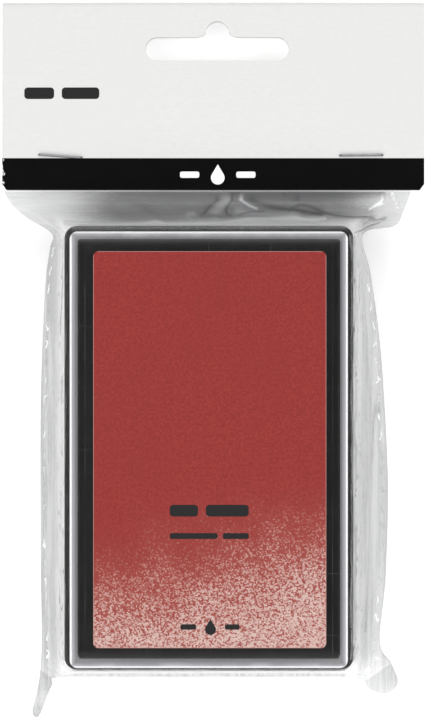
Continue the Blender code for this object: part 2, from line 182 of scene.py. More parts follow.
class Finish:
    """A Principled material with short calls for the nodes that feed it."""

    def __init__(self, name, roughness=0.5, metallic=0.0, specular=0.5):
        self.material = bpy.data.materials.new(name)
        self.material.use_nodes = True
        self.tree = self.material.node_tree
        self.shader = self.tree.nodes["Principled BSDF"]
        self.shader.inputs["Roughness"].default_value = roughness
        self.shader.inputs["Metallic"].default_value = metallic
        self.shader.inputs["Specular IOR Level"].default_value = specular
        self.place = self.node("ShaderNodeTexCoord").outputs["Object"]
        split = self.node("ShaderNodeSeparateXYZ")
        self.link(self.place, split.inputs[0])
        self.x, self.y, self.z = split.outputs

    def node(self, kind, **settings):
        made = self.tree.nodes.new(kind)
        for key, value in settings.items():
            setattr(made, key, value)
        return made

    def link(self, source, target):
        if hasattr(source, "is_linked"):
            self.tree.links.new(source, target)
        else:
            target.default_value = source

    def math(self, operation, *values):
        made = self.node("ShaderNodeMath", operation=operation)
        for value, socket in zip(values, made.inputs):
            self.link(value, socket)
        return made.outputs[0]

    def noise(self, size_mm, detail=2.0, stretch=(1, 1, 1), distortion=0.0):
        """Noise with features of about size_mm, drawn out along an axis by its stretch."""
        mapping = self.node("ShaderNodeMapping")
        mapping.inputs["Scale"].default_value = [1 / s for s in stretch]
        self.link(self.place, mapping.inputs["Vector"])
        made = self.node("ShaderNodeTexNoise")
        made.inputs["Scale"].default_value = 1 / (size_mm * MM)
        made.inputs["Detail"].default_value = detail
        made.inputs["Distortion"].default_value = distortion
        self.link(mapping.outputs[0], made.inputs["Vector"])
        return made.outputs["Fac"]

    def ramp(self, value, low, high, to_low=0.0, to_high=1.0):
        made = self.node("ShaderNodeMapRange", interpolation_type="SMOOTHSTEP")
        made.inputs["From Min"].default_value = low
        made.inputs["From Max"].default_value = high
        made.inputs["To Min"].default_value = to_low
        made.inputs["To Max"].default_value = to_high
        self.link(value, made.inputs["Value"])
        return made.outputs[0]

    def mix(self, factor, first, second):
        made = self.node("ShaderNodeMix", data_type="RGBA")
        self.link(factor, made.inputs["Factor"])
        for value, socket in ((first, made.inputs[6]), (second, made.inputs[7])):
            self.link((*value, 1.0) if isinstance(value, tuple) else value, socket)
        return made.outputs[2]

    def colour(self, value):
        self.link((*value, 1.0) if isinstance(value, tuple) else value, self.shader.inputs["Base Color"])

    def feed(self, socket, value):
        self.link(value, self.shader.inputs[socket])

    def bump(self, height, depth_mm):
        made = self.node("ShaderNodeBump")
        made.inputs["Distance"].default_value = depth_mm * MM
        self.link(height, made.inputs["Height"])
        self.link(made.outputs[0], self.shader.inputs["Normal"])

    def outside(self, half_w, half_l, centre=(0.0, 0.0)):
        """How far, in metres, a point lies outside a rectangle; negative inside."""
        across = self.math("SUBTRACT", self.x, centre[0] * MM)
        up = self.math("SUBTRACT", self.y, centre[1] * MM)
        dx = self.math("SUBTRACT", self.math("ABSOLUTE", across), half_w * MM)
        dy = self.math("SUBTRACT", self.math("ABSOLUTE", up), half_l * MM)
        return self.math("MAXIMUM", dx, dy)


def tray_finish():
    made = Finish("tray_plastic", roughness=0.38, specular=0.28)
    made.colour(made.mix(made.noise(6, 3), (0.0095, 0.0085, 0.0075), (0.0165, 0.0150, 0.0130)))
    made.feed("Roughness", made.ramp(made.noise(1.4, 3), 0.3, 0.7, 0.30, 0.46))
    made.bump(made.noise(0.22, 2), 0.008)
    return made.material


GRID = 12.7               # pitch of the lid's grid
GRID_LINE = 0.16          # half width of its lines


def lid_painted_reflection(made, near_top):
    """Painted reflection: pale light painted under the lid's top along its far and near ends."""
    inner_l = LID_L / 2 - LID_WALL
    far = made.ramp(made.y, (inner_l - 1.8) * MM, (inner_l + 0.2) * MM, 0.0, 0.17)
    near = made.ramp(made.y, -inner_l * MM, (3.0 - inner_l) * MM, 0.10, 0.0)
    return made.math("MULTIPLY", made.math("ADD", far, near), near_top)


def lid_grid(made, near_top):
    """The fine, faint grid under the lid's top."""
    lines = []
    for axis in (made.x, made.y):
        away = made.math("PINGPONG", axis, GRID / 2 * MM)
        lines.append(made.ramp(away, GRID_LINE * 0.4 * MM, GRID_LINE * MM, 1.0, 0.0))
    grid = made.math("MULTIPLY", made.math("MAXIMUM", *lines), near_top)
    return made.math("MULTIPLY", grid, made.ramp(made.noise(9, 2), 0.3, 0.7, 0.06, 0.16))


def lid_finish():
    """Clear styrene with a fine grid under its top: painted highlight along its rounded edge, painted light
    along its wall top, painted reflection at its ends and painted sheen on its skirt.
    """
    made = Finish("lid_plastic", roughness=0.06)
    wall = made.outside(LID_W / 2 - LID_WALL, LID_L / 2 - LID_WALL)
    edge = made.outside(LID_W / 2 - LID_EDGE, LID_L / 2 - LID_EDGE)
    near_top = made.ramp(made.z, (LID_HI.z - 1.6) * MM, (LID_HI.z - 1.0) * MM)
    # Painted light in a streaked band over the wall's top, where light comes up through the clear wall.
    in_wall = made.math("MULTIPLY", made.ramp(wall, -0.25 * MM, 0.2 * MM), near_top)
    # Painted highlight along the lid's rounded top edge.
    painted_edge_highlight = made.math("MULTIPLY", made.ramp(edge, -0.06 * MM, 0.08 * MM), near_top)
    # The painted reflection at the lid's ends, and its real grid.
    painted_reflection, grid = lid_painted_reflection(made, near_top), lid_grid(made, near_top)
    streaks = made.ramp(made.noise(5, 2, (1, 14, 1)), 0.3, 0.7, 0.66, 0.9)
    clear = made.ramp(made.noise(11, 2), 0.3, 0.7, 0.035, 0.06)
    # Painted sheen on the clear skirt, brighter along its foot.
    painted_skirt_sheen = made.math("MULTIPLY", made.ramp(wall, -0.35 * MM, -0.15 * MM),
                         made.math("SUBTRACT", 1.0, near_top))
    at_foot = made.ramp(made.z, (LID_LO.z + 0.25) * MM, (LID_LO.z + 0.6) * MM, 0.30, 0.05)
    skirt = made.math("MULTIPLY", painted_skirt_sheen, at_foot)
    body = made.math("MAXIMUM", made.math("ADD", made.math("ADD", clear, painted_reflection), skirt), grid)
    body = made.math("MAXIMUM", body, made.math("MULTIPLY", in_wall, streaks))
    made.feed("Alpha", made.math("MAXIMUM", body, made.math("MULTIPLY", painted_edge_highlight, 0.92)))
    # White where the grid lies and where the painted sheen and painted reflection fall.
    grid_and_painted_light = made.math("MAXIMUM", made.math("MAXIMUM", grid, painted_skirt_sheen), made.math("MULTIPLY", painted_reflection, 2.0))
    clear_tone = made.mix(grid_and_painted_light, (0.05, 0.05, 0.055), (1.0, 1.0, 1.0))
    # Painted light along the wall's top, paler outward.
    painted_wall_light = made.mix(made.ramp(wall, 0.1 * MM, 0.9 * MM), (0.28, 0.28, 0.30), (0.50, 0.50, 0.52))
    grey = made.mix(in_wall, clear_tone, painted_wall_light)
    # The rounded edge gets its painted highlight colour.
    made.colour(made.mix(painted_edge_highlight, grey, (0.86, 0.86, 0.88)))
    made.shader.inputs["IOR"].default_value = 1.7
    made.bump(made.noise(18, 2), 0.02)
    return made.material


SPECK = 0.27              # size of the label's printed specks


def label_finish():
    """Matt print: mottled red that breaks up into pale paper specks towards the lower edge."""
    made = Finish("label_print", roughness=0.62, specular=0.3)
    slant = made.math("MULTIPLY", made.x, 0.23)
    cloud = made.math("MULTIPLY", made.math("SUBTRACT", made.noise(9, 3), 0.5), 16 * MM)
    depth = made.math("SUBTRACT", made.math("ADD", made.math("ADD", slant, cloud), -11.5 * MM), made.y)
    share = made.ramp(depth, -20 * MM, 36 * MM)
    cells = made.node("ShaderNodeTexVoronoi")
    cells.inputs["Scale"].default_value = 1 / (SPECK * MM)
    made.link(made.place, cells.inputs["Vector"])
    grain = made.node("ShaderNodeSeparateColor")
    made.link(cells.outputs["Color"], grain.inputs[0])
    clumps = made.math("SUBTRACT", made.noise(0.8, 2), 0.5)
    level = made.math("ADD", grain.outputs[0], made.math("MULTIPLY", clumps, 0.35))
    pale_share = made.math("SUBTRACT", made.math("MULTIPLY", share, 1.22), 0.55)
    pale = made.ramp(made.math("SUBTRACT", pale_share, level), -0.30, 0.20)
    red = made.mix(made.ramp(made.noise(0.5, 3), 0.3, 0.7), (0.222, 0.0155, 0.0130), (0.288, 0.0260, 0.0210))
    red = made.mix(made.ramp(made.noise(14, 2), 0.35, 0.7, 0.0, 0.35), red, (0.235, 0.0190, 0.0170))
    warm = made.mix(made.ramp(share, 0.15, 0.9, 0.0, 0.5), red, (0.34, 0.085, 0.066))
    paper = made.mix(made.noise(1.2, 2), (0.50, 0.32, 0.285), (0.63, 0.47, 0.42))
    paper = made.mix(made.ramp(share, 0.45, 0.95, 1.0, 0.0), paper, (0.42, 0.155, 0.13))
    printed = made.mix(pale, warm, paper)
    half_w, half_l = (LABEL_HI.x - LABEL_LO.x) / 2, (LABEL_HI.y - LABEL_LO.y) / 2
    rim = made.ramp(made.outside(half_w - 0.15, half_l - 0.15, (LABEL_X, LABEL_Y)), 0.0, 0.1 * MM)
    made.colour(made.mix(rim, printed, (0.46, 0.24, 0.21)))
    made.bump(made.noise(0.3, 3), 0.006)
    return made.material


BAND_TOP = 60.4           # upper edge of the card's black band


def card_finish():
    """Uncoated off-white card with a black band along its lower edge, chipped at the band's left end."""
    made = Finish("card_board", roughness=0.72, specular=0.05)
    fibre = made.noise(0.5, 4, (2.5, 1, 1))
    card = made.mix(made.ramp(fibre, 0.3, 0.7), (0.630, 0.630, 0.615), (0.655, 0.655, 0.641))
    card = made.mix(made.ramp(made.noise(24, 2), 0.35, 0.7, 0.0, 0.5), card, (0.643, 0.643, 0.635))
    band = made.ramp(made.y, (BAND_TOP - 0.06) * MM, (BAND_TOP + 0.06) * MM, 1.0, 0.0)
    near = made.ramp(made.math("SUBTRACT", (CARD_LO.x + 1.1) * MM, made.x), 0.0, 1.0 * MM)
    worn = made.math("ADD", made.math("MULTIPLY", near, 0.30), made.noise(0.8, 3, (1, 1.6, 1)))
    inked = made.math("MULTIPLY", band, made.ramp(worn, 0.80, 0.86, 1.0, 0.0))
    ink = made.mix(made.noise(3, 3), (0.0015, 0.0012, 0.0013), (0.0035, 0.003, 0.003))
    made.colour(made.mix(inked, card, ink))
    made.feed("Roughness", made.ramp(inked, 0.0, 1.0, 0.74, 0.5))
    made.bump(made.noise(0.35, 4), 0.012)
    return made.material


def ink_finish(name, colour):
    made = Finish(name, roughness=0.55, specular=0.2)
    second = tuple(min(1.0, c * 1.25) for c in colour)
    made.colour(made.mix(made.noise(0.6, 3), colour, second))
    made.bump(made.noise(0.3, 3), 0.004)
    return made.material


STITCH = 3.8              # pitch of the marks that the welding bar leaves along the seam


def seam_marks(made, fringe, beside):
    """Worn dashes that wander along the middle of the welded seam, beside the case only."""
    wiggle = made.math("MULTIPLY", made.math("SUBTRACT", made.noise(1.4, 1), 0.5), 0.9)
    off_middle = made.math("SUBTRACT", made.math("ADD", fringe, wiggle), 0.5)
    middle = made.ramp(made.math("ABSOLUTE", off_middle), 0.06, 0.13, 1.0, 0.0)
    wander = made.math("MULTIPLY", made.noise(3), 2 * MM)
    step = made.math("PINGPONG", made.math("ADD", made.y, wander), STITCH / 2 * MM)
    worn = made.ramp(made.noise(7, 2), 0.42, 0.6, 0.25, 1.0)
    dashes = made.math("MULTIPLY", made.ramp(step, 0.8 * MM, 1.1 * MM, 1.0, 0.0), middle)
    return made.math("MULTIPLY", made.math("MULTIPLY", dashes, worn), beside)


def film_finish():
    """Thin clear film: its haze, grey tone and fringe come from the mesh, with fine streaks over them."""
    made = Finish("pouch_film", roughness=0.12, specular=0.4)
    haze, tone, fringe = (
        made.node("ShaderNodeAttribute", attribute_name=label).outputs["Fac"] for label in FILM_LAYERS
    )
    shoulder = made.ramp(made.y, 43.5 * MM, 46.5 * MM)
    beside = made.math("SUBTRACT", 1.0, shoulder)
    drawn = made.ramp(made.noise(1.1, 3, (1, 22, 3)), 0.38, 0.62, -0.20, 0.20)
    soft = made.ramp(made.noise(1.6, 3, (9, 1, 1), 0.6), 0.35, 0.65, -0.10, 0.10)
    streaks = made.math("ADD", made.math("MULTIPLY", drawn, beside), made.math("MULTIPLY", soft, shoulder))
    dashes = seam_marks(made, fringe, beside)
    rim = made.math("MULTIPLY", made.ramp(fringe, 0.88, 1.0, 0.0, 0.14), beside)
    streaked = made.math("MULTIPLY", haze, made.math("ADD", streaks, 1.0))
    marked = made.math("ADD", streaked, made.math("MULTIPLY", dashes, 0.17))
    made.feed("Alpha", made.math("ADD", marked, rim))
    # The tone from the mesh carries the painted shade and painted highlights of the shoulder and folds.
    made.colour(made.mix(made.math("MAXIMUM", tone, dashes), (0.02, 0.02, 0.022), (0.98, 0.99, 1.0)))
    gloss = made.ramp(made.noise(3, 3), 0.3, 0.7, 0.07, 0.18)
    made.feed("Roughness", made.math("ADD", gloss, made.math("MULTIPLY", shoulder, 0.30)))
    made.bump(made.noise(2.2, 2, (1, 6, 6)), 0.05)
    return made.material


def steel_finish():
    made = Finish("staple_steel", roughness=0.28, metallic=1.0)
    made.colour(made.mix(made.noise(0.3, 3), (0.14, 0.14, 0.145), (0.27, 0.27, 0.28)))
    made.feed("Roughness", made.ramp(made.noise(0.2, 2, (8, 1, 1)), 0.3, 0.7, 0.2, 0.42))
    made.bump(made.noise(0.12, 2, (8, 1, 1)), 0.006)
    return made.material


THREAD = 0.42             # pitch of the pad's weave


def cloth_finish():
    """Tightly woven cloth, damp with red ink and darker towards its edge."""
    made = Finish("inked_cloth", roughness=0.6)
    over = made.math("SINE", made.math("MULTIPLY", made.x, 2 * math.pi / (THREAD * MM)))
    under = made.math("SINE", made.math("MULTIPLY", made.y, 2 * math.pi / (THREAD * MM)))
    weave = made.math("MULTIPLY", over, under)
    shade = made.mix(made.ramp(weave, -0.8, 0.8), (0.165, 0.010, 0.012), (0.30, 0.020, 0.022))
    shade = made.mix(made.ramp(made.noise(9, 3), 0.35, 0.65, 0.0, 0.6), shade, (0.20, 0.012, 0.014))
    # Darker towards the pad's edge.
    edge_darkening = made.ramp(made.outside(COVER_HI.x - 6.5, COVER_HI.y - 5.7), 0.0, 3 * MM, 0.0, 0.55)
    made.colour(made.mix(edge_darkening, shade, (0.10, 0.006, 0.008)))
    made.feed("Roughness", made.ramp(made.noise(2.5, 3), 0.3, 0.7, 0.42, 0.68))
    made.shader.inputs["Sheen Weight"].default_value = 0.12
    made.bump(made.math("ADD", weave, made.noise(0.2, 2)), 0.04)
    return made.material


def foam_finish():
    made = Finish("inked_foam", roughness=0.9)
    cells = made.noise(0.5, 3)
    made.colour(made.mix(made.ramp(cells, 0.35, 0.6), (0.09, 0.006, 0.008), (0.26, 0.020, 0.024)))
    made.bump(cells, 0.2)
    return made.material


def tape_finish():
    made = Finish("foam_tape", roughness=0.6)
    made.colour(made.mix(made.noise(2, 3), (0.74, 0.70, 0.60), (0.82, 0.79, 0.70)))
    made.bump(made.noise(0.8, 3), 0.02)
    return made.material


def floor_finish():
    made = Finish("studio_floor", roughness=0.8)
    made.colour(made.mix(made.noise(60, 2), (0.90, 0.90, 0.90), (0.92, 0.92, 0.92)))
    made.shader.inputs["Emission Color"].default_value = (1.0, 1.0, 1.0, 1.0)
    made.shader.inputs["Emission Strength"].default_value = 0.25
    return made.material


def dress(obj, finish):
    """Gives the object one material, and gives the object back."""
    obj.data.materials.clear()
    obj.data.materials.append(finish)
    return obj


# ---------------------------------------------------------------- camera, light and floor


def make_camera():
    data = bpy.data.cameras.new("camera")
    data.sensor_width = SENSOR
    data.lens = SENSOR * CAMERA_HEIGHT / FRAME_HEIGHT
    camera = bpy.data.objects.new("camera", data)
    camera.location = (CAMERA_AIM + Vector((0, 0, CAMERA_HEIGHT))) * MM
    bpy.context.scene.collection.objects.link(camera)
    bpy.context.scene.camera = camera


def soft_light(name, place, aim, size, watts):
    data = bpy.data.lights.new(name, "AREA")
    data.shape = "RECTANGLE"
    data.size, data.size_y = size
    data.energy = watts
    lamp = bpy.data.objects.new(name, data)
    lamp.location = place
    lamp.rotation_mode = "QUATERNION"
    lamp.rotation_quaternion = (Vector(aim) - Vector(place)).to_track_quat("-Z", "Y")
    bpy.context.scene.collection.objects.link(lamp)


def make_studio():
    scene = bpy.context.scene
    scene.view_settings.view_transform = "Standard"
    world = bpy.data.worlds.new("studio")
    world.use_nodes = True
    world.node_tree.nodes["Background"].inputs["Color"].default_value = (0.95, 0.97, 1.0, 1.0)
    world.node_tree.nodes["Background"].inputs["Strength"].default_value = 0.14
    scene.world = world
    aim = (0.0, 0.02, 0.0)
    soft_light("left_key", (-0.75, -0.15, 0.75), aim, (0.7, 1.1), 8.8)
    soft_light("right_fill", (0.80, 0.10, 0.70), aim, (0.7, 1.1), 7.4)
    soft_light("far_strip", (0.05, 0.95, 0.60), aim, (1.1, 0.35), 5.0)
    soft_light("near_fill", (0.0, -0.90, 0.70), aim, (1.1, 0.5), 5.6)
    corners = [(FLOOR_REACH * x, FLOOR_REACH * y, 0) for x, y in ((-1, -1), (1, -1), (1, 1), (-1, 1))]
    floor = add_mesh("floor", corners, [(0, 1, 2, 3)], smooth=False)
    floor.location.z = -FLOOR_DROP * MM
    dress(floor, floor_finish())


# ---------------------------------------------------------------- pouch film


def curve_points(points, count):
    """Evenly spaced points on an open Catmull-Rom curve."""
    knots = np.array([points[0], *points, points[-1]], float)
    t = np.linspace(0, 1, 24, endpoint=False)[:, None]
    dense = []
    for p0, p1, p2, p3 in zip(knots, knots[1:], knots[2:], knots[3:]):
        dense.append((p1 * 2 + (p2 - p0) * t + (p0 * 2 - p1 * 5 + p2 * 4 - p3) * t ** 2
                      + (p1 * 3 - p0 - p2 * 3 + p3) * t ** 3) / 2)
    dense = np.vstack([*dense, knots[-1:]])
    along = np.concatenate([[0], np.cumsum(np.linalg.norm(np.diff(dense, axis=0), axis=1))])
    where = np.linspace(0, along[-1], count)
    return np.column_stack([np.interp(where, along, dense[:, k]) for k in (0, 1)])


def closed_loop(points):
    """The curve round the case and the straight stretch back along the card."""
    curve = curve_points(points, ROUND_POINTS)
    share = np.linspace(0, 1, CARD_POINTS + 1, endpoint=False)[1:, None]
    return np.vstack([curve, curve[-1] * (1 - share) + curve[0] * share])


def onto_rectangle(points, half_w, half_l, radius):
    """The nearest points of a rounded rectangle about the origin."""
    limit = np.array([half_w - radius, half_l - radius])
    core = np.clip(points, -limit, limit)
    away = points - core
    return core + away / np.linalg.norm(away, axis=1)[:, None] * radius


def weld_height(x, y):
    """Height of the welded edge: a little wavy, with the ears drooping."""
    low = max(0.0, -47.5 - y)
    return SEAM_Z + 0.30 * wave(x, y, 11, 3.0) * min(1.0, max(0.0, (50 - y) / 8)) - 0.045 * low * low


def crease(value, sharpness):
    """A narrow ridge where a noise passes through nought."""
    return max(0.0, 1 - abs(value) * sharpness) ** 2


def bunching(y):
    """From 0 beside the case to 1 in the shoulder by the card, where the film is gathered."""
    return np.clip((y - 44.5) / 2.5, 0, 1)


def film_fold(x, y, t, side):
    """How far the film stands off its smooth shape: long folds beside the case, swirls at the shoulder."""
    shoulder = bunching(y)
    belly = math.sin(math.pi * t) ** 2 + 0.25 * math.sin(math.pi * t) ** 1.6
    run = wave(y * 0.12, t * 8.5 + side * 3, 1.0, 11.0 + side + (2 if x > 0 else 0))
    fine = wave(y * 0.4, t * 18, 1.0, 21.0 + side)
    long_folds = 0.45 * run + 0.12 * fine + 0.30 * crease(run, 6)
    bend = 5 * wave(x, y, 9, 31.0)
    swirls = 0.8 * wave(x * 0.7 + bend, (y + bend * 0.5) * 1.6, 8, 41.0 + side)
    return belly * ((1 - shoulder) * long_folds + shoulder * swirls)


# Folds of the front film, laid one over another, carrying painted shade and painted highlights: half width,
# lift, haze, grey tone and course.
# Folds with no lift are painted shade or painted highlight only. A tone of 0 is black and 1 is white.
FRONT_FOLDS_AND_PAINTED_LIGHT = [
    (1.5, 0.0, 0.72, 0.185, [(-19.0, 50.2), (-14.0, 49.5), (-8.0, 49.3), (-3.0, 50.0)]),
    (1.1, 0.0, 0.80, 0.085, [(8.0, 53.4), (16.0, 52.8), (24.0, 52.8), (31.0, 53.0), (36.0, 53.4)]),
    (1.2, 0.0, 0.62, 0.26, [(25.0, 49.6), (29.0, 49.2), (33.0, 48.9)]),
    (1.0, 0.3, 0.66, 0.33, [(4.2, 52.0), (2.6, 50.6), (1.2, 49.0)]),
    (1.0, 0.2, 0.66, 0.36, [(6.2, 49.2), (8.5, 48.8), (12.0, 48.4), (18.0, 47.8)]),
    (0.55, 0.1, 0.72, 0.54, [
        (-29.5, 46.7), (-22.0, 46.5), (-12.0, 46.6), (0.0, 46.8), (12.0, 47.0), (24.0, 47.3),
    ]),
    (0.45, 0.1, 0.64, 0.32, [(-4.3, 48.8), (-3.3, 48.85)]),
    (0.65, 0.5, 0.88, 0.065, [
        (5.2, 53.6), (7.6, 52.4), (10.0, 51.2), (13.0, 50.2), (16.5, 49.4), (20.0, 48.7), (23.5, 48.1),
    ]),
    (0.22, 0.3, 0.75, 0.60, [(5.6, 52.4), (7.0, 51.5), (8.6, 50.5), (10.0, 49.9)]),
    (0.28, 0.3, 0.88, 0.060, [(5.3, 52.4), (4.2, 50.8), (3.5, 49.5), (3.8, 48.5), (4.6, 48.0)]),
    (0.32, 0.3, 0.88, 0.065, [(5.0, 53.4), (2.2, 52.0), (0.2, 50.3), (-0.8, 48.8), (-1.6, 48.2)]),
    (0.25, 0.2, 0.80, 0.08, [(4.6, 48.0), (2.2, 48.2), (-0.8, 48.3)]),
    (0.22, 0.2, 0.75, 0.11, [(5.8, 48.0), (7.6, 48.7), (9.4, 49.1), (11.4, 49.2)]),
    (0.28, 0.3, 0.88, 0.060, [
        (16.8, 48.8), (17.4, 49.8), (18.8, 50.6), (20.4, 50.5), (22.0, 49.8), (24.0, 48.8), (26.4, 47.9),
        (29.2, 47.4), (33.0, 47.4), (36.6, 47.9),
    ]),
    (0.35, 0.2, 0.80, 0.06, [(15.6, 53.2), (16.8, 52.4), (18.6, 51.8)]),
    (0.25, 0.3, 0.95, 1.00, [(38.4, 53.4), (36.8, 52.3), (35.4, 51.1), (33.4, 49.7)]),
    (0.42, 0.2, 0.95, 1.00, [(34.7, 50.6), (36.0, 50.9)]),
    (0.18, 0.2, 0.80, 0.90, [(38.0, 52.6), (38.9, 51.3), (39.3, 50.0)]),
    (0.50, 0.0, 0.36, 0.40, [(-30.2, 43.0), (-30.2, 10.0), (-30.2, -20.0), (-30.1, -43.0)]),
    (0.45, 0.0, 0.50, 0.12, [(30.1, 43.5), (30.1, 10.0), (30.1, -20.0), (30.0, -43.5)]),
    (0.16, 0.0, 0.36, 0.60, [(29.3, 44.0), (29.35, 20.0), (29.35, -20.0), (29.3, -43.0)]),
    (0.35, 0.0, 0.60, 0.06, [(-28.0, -45.45), (-10.0, -45.45), (10.0, -45.45), (28.0, -45.45)]),
    (0.70, 0.0, 0.38, 0.42, [(-28.0, 45.7), (0.0, 45.8), (28.0, 45.9)]),
    (0.22, 0.3, 0.52, 0.22, [
        (35.3, 15.0), (34.4, 6.5), (33.8, -5.0), (33.5, -13.0), (33.0, -26.5), (32.6, -38.0),
    ]),
    (0.20, 0.2, 0.48, 0.24, [(-34.0, 24.0), (-33.6, 8.0), (-33.8, -10.0), (-34.0, -30.0)]),
    (0.30, 0.0, 0.45, 0.30, [(-28.0, -47.3), (-10.0, -47.3), (10.0, -47.3), (28.0, -47.3)]),
]


def line_share(plan, course, half_width):
    """How much each point belongs to a fold: 1 on its course, falling away over its half width."""
    nearest = np.full(len(plan), np.inf)
    for a, b in zip(np.array(course), np.array(course)[1:]):
        run = b - a
        along = np.clip((plan - a) @ run / (run @ run), 0, 1)
        nearest = np.minimum(nearest, np.linalg.norm(plan - a - along[:, None] * run, axis=1))
    return np.exp(-(nearest / half_width) ** 2)


TAUT_HAZE = 0.05                    # of the film where it lies close to the case
LID_HAZE, LID_TONE = 0.03, 0.06     # of the film over the lid
CARD_HAZE, CARD_TONE = 0.12, 0.30   # of the film inside the card


def film_looks(plan, over_lid, side):
    """Haze, grey tone and lift of the film at points seen from above, with painted shade across the shoulder
    and the painted shade and highlights of the folds.
    """
    x, y = plan[:, 0], plan[:, 1]
    shoulder = bunching(y)
    # Painted shade across the middle of the shoulder: the film is made darker and hazier there.
    dark = np.clip((x + 31) / 13, 0, 1) * np.clip((37 - x) / 11, 0, 1)
    dark = dark * dark * (3 - 2 * dark)
    right_ear = np.clip((-47.2 - y) / 1.5, 0, 1) * (x > 0)
    beside = 0.32 - 0.02 * np.sign(x) - 0.12 * right_ear
    haze = (1 - shoulder) * beside + shoulder * (0.26 + 0.40 * dark)
    tone = (1 - shoulder) * 0.35 + shoulder * (0.36 - 0.21 * dark)
    case_w, case_l, clear_rim = (LID_W / 2, LID_L / 2, 1.4) if side > 0 else (TRAY_HI.x, TRAY_HI.y, 0.5)
    off_case = np.maximum(np.abs(x) - case_w, np.abs(y) - case_l)
    haze = TAUT_HAZE + (haze - TAUT_HAZE) * np.clip((off_case - clear_rim) / 2.0, 0, 1)
    lift = np.zeros(len(plan))
    # Each fold lays its painted shade, dark or pale, into the haze and tone, and lifts the film.
    for half_width, rise, fold_haze, fold_painted_light, course in FRONT_FOLDS_AND_PAINTED_LIGHT if side > 0 else []:
        share = line_share(plan, smooth_course(course), half_width)
        haze += (fold_haze - haze) * share
        tone += (fold_painted_light - tone) * share
        lift += rise * share
    haze[over_lid] = LID_HAZE
    tone[over_lid] = LID_TONE
    return haze, tone, lift


def smooth_course(course):
    return curve_points(course, 6 * len(course)) if len(course) > 2 else course


TOP_INSETS = (26, 20, 14, 9, 6, 4, 2.6, 1.7)     # of the flat face's rings from its rim
SLOPE_RINGS = 30
MOUTH_STEPS = (0.25, 0.5, 0.8, 1.4, 3.0, 6.0, 10.0, 14.4)     # of the film's rows inside the card


def film_rings(half_w, half_l, radius, face_z, side):
    """Rings of the film's flat face, from its middle out, and of its slope down to the weld line."""
    weld = closed_loop(WELD_LINE)
    rim = onto_rectangle(weld, half_w, half_l, radius)

    def inner_ring(inset):
        ring = onto_rectangle(rim, half_w - inset, half_l - inset, max(0.3, radius - inset))
        return np.column_stack([ring, np.full(len(ring), face_z)])

    flat = [inner_ring(inset) for inset in TOP_INSETS]
    start = inner_ring(1.0)
    bend = np.column_stack([rim, np.full(len(rim), face_z)])
    end = np.array([(x, y, weld_height(x, y) + side * FILM_PLY) for x, y in weld])
    level_out = end * 0.55 + np.column_stack([rim, end[:, 2]]) * 0.45
    slope = []
    for k in range(SLOPE_RINGS + 1):
        t = (k / SLOPE_RINGS) ** 1.1
        slope.append(start * (1 - t) ** 3 + bend * 3 * t * (1 - t) ** 2
                     + level_out * 3 * t * t * (1 - t) + end * t ** 3)
    return flat, np.array(slope)


def slope_normals(slope, side):
    """Unit normals of the film's sloping rings, pointing out of the pouch."""
    along = np.roll(slope, -1, axis=1) - np.roll(slope, 1, axis=1)
    down = np.gradient(slope, axis=0)
    normal = np.cross(along, down) * side
    normal /= np.linalg.norm(normal, axis=2)[:, :, None] + 1e-9
    normal *= np.sign((normal[:, :, 2:] * side).mean() or 1)
    return normal.reshape(-1, 3)


def fill_fringe(build, verts, edge_start):
    """The flat, welded fringe between the weld's ring and the outer edge's."""
    loop = []
    for start in (edge_start - FILM_POINTS, edge_start):
        for i in range(FILM_POINTS):
            pair = (verts[start + i], verts[start + (i + 1) % FILM_POINTS])
            loop.append(build.edges.get(pair) or build.edges.new(pair))
    bmesh.ops.triangle_fill(build, edges=loop, use_beauty=True)


def film_points(half_w, half_l, radius, face_z, side):
    """The film's points in rings from its middle to its outer edge, with the haze and tone at each."""
    flat, slope = film_rings(half_w, half_l, radius, face_z, side)
    top = [(x, y, z + side * 0.12 * max(0, 1 + wave(x, y, 16, 61.0))) for x, y, z in np.vstack(flat)]
    sides = slope.reshape(-1, 3)
    edge = [(x, y, weld_height(x, y) + side * FILM_PLY) for x, y in closed_loop(POUCH_EDGE)]
    plan = np.vstack([np.array(top)[:, :2], sides[:, :2], np.array(edge)[:, :2]])
    haze, tone, lift = film_looks(plan, np.arange(len(plan)) < len(top), side)
    shares = np.repeat(np.arange(SLOPE_RINGS + 1) / SLOPE_RINGS, FILM_POINTS)
    folds = [film_fold(x, y, t, side) for (x, y, _), t in zip(sides, shares)]
    slack = np.sin(math.pi * shares) ** 2
    rise = np.maximum(-0.25 * slack, np.array(folds) + lift[len(top):-FILM_POINTS] * slack)
    points = [*top, *(sides + slope_normals(slope, side) * rise[:, None]), *edge]
    return points, list(haze), list(tone)


